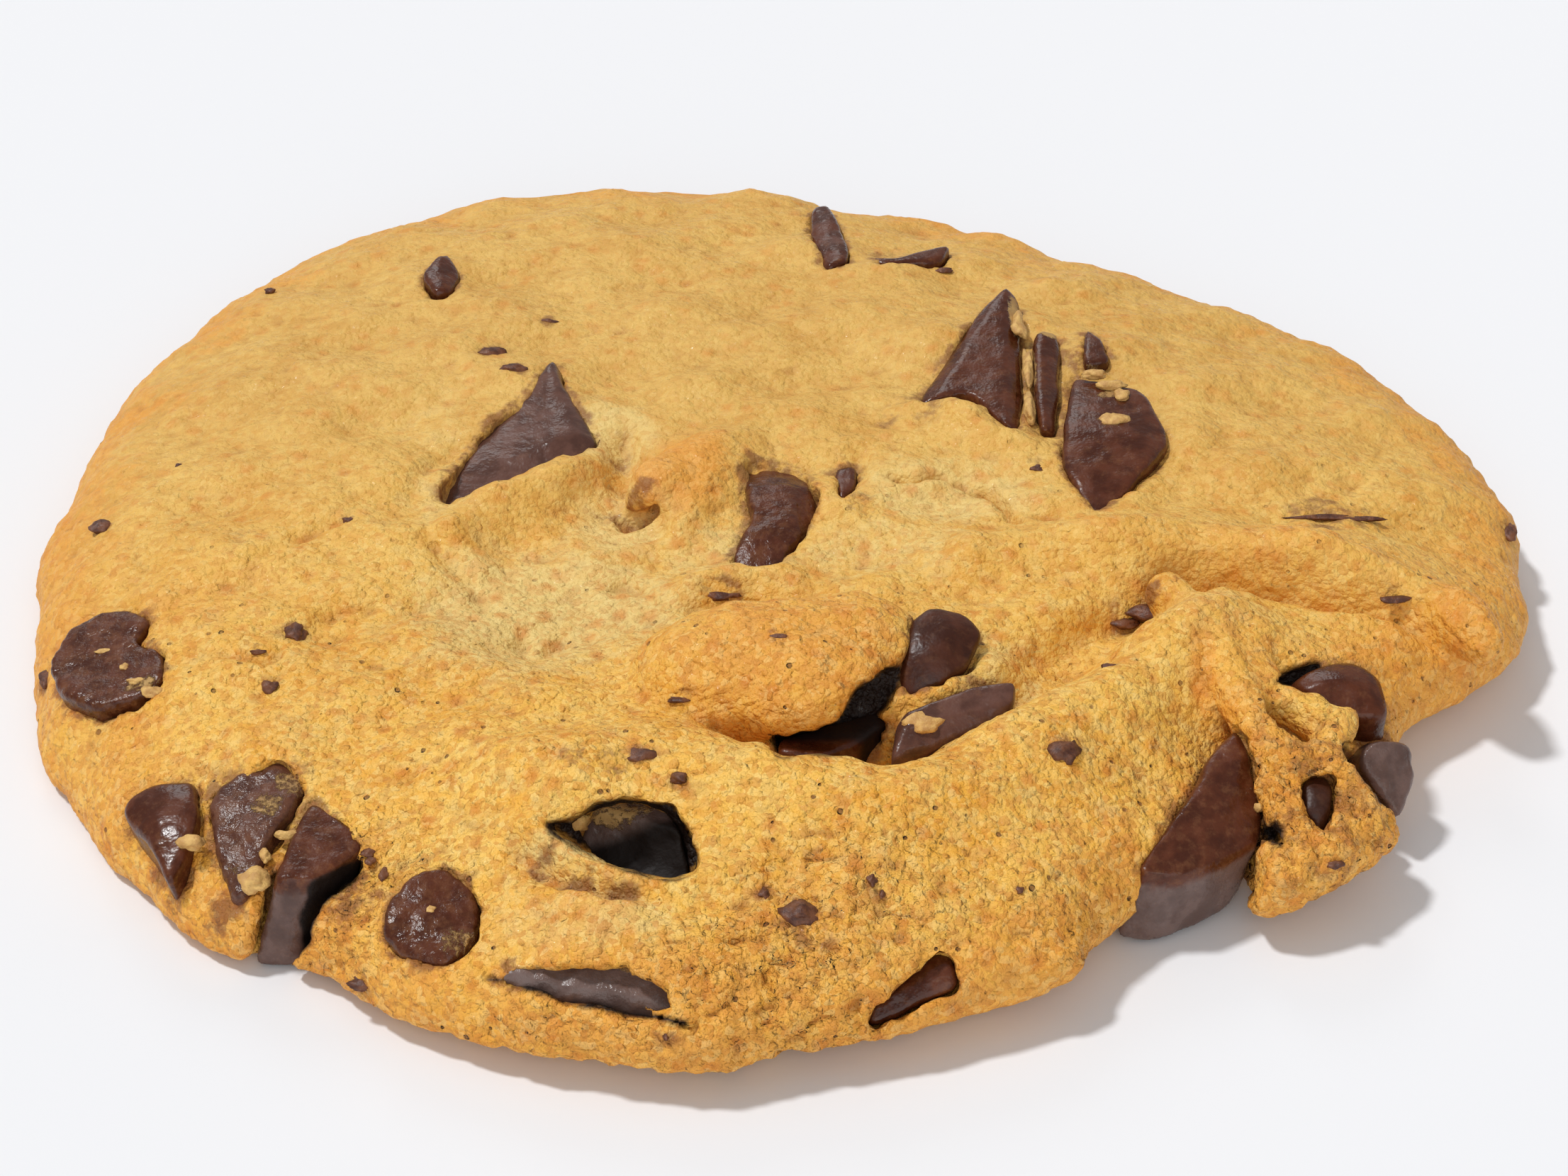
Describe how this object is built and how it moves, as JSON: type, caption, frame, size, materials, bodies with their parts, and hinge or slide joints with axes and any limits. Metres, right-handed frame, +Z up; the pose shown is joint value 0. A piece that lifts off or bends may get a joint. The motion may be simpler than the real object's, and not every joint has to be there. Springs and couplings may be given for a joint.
{
  "type": "chocolate chip cookie",
  "caption": "Thick, soft round cookie with folded golden dough and large pieces of dark chocolate set in its top and edge.",
  "frame": {"origin": "under the middle of the outline, on the plane that the cookie lies on", "axes": "+Z up through the thickness, +Y from the thick folded front to the thinner back, +X to the right with the torn lobe at front right"},
  "size_m": [0.1011, 0.1011, 0.0134],
  "materials": {
    "dough": "baked crumb, dry and finely rough",
    "chocolate": "melted and set again, glossy"
  },
  "bodies": {
    "root": {"dough": "dough", "chunk_back_long": "chocolate", "chunk_back_slab": "chocolate", "chunk_back_chip": "chocolate", "chunk_back_wedge": "chocolate", "chunk_left_shard": "chocolate", "chunk_centre": "chocolate", "chunk_centre_bit": "chocolate", "chunk_far_bar": "chocolate", "chunk_far_bit": "chocolate", "chunk_far_chip": "chocolate", "chip_left_round": "chocolate", "chunk_front_left_outer": "chocolate", "chunk_front_left_inner": "chocolate", "chunk_front_left_block": "chocolate", "chip_front_round": "chocolate", "chunk_front_strip": "chocolate", "chunk_in_slot": "chocolate", "chunk_front_edge": "chocolate", "chunk_under_lump": "chocolate", "chunk_in_trough": "chocolate", "chunk_on_roll": "chocolate", "chunk_front_right": "chocolate", "chunk_lobe_chip": "chocolate", "chunk_right_upper": "chocolate", "chunk_right_lower": "chocolate"}
  },
  "joints": []
}
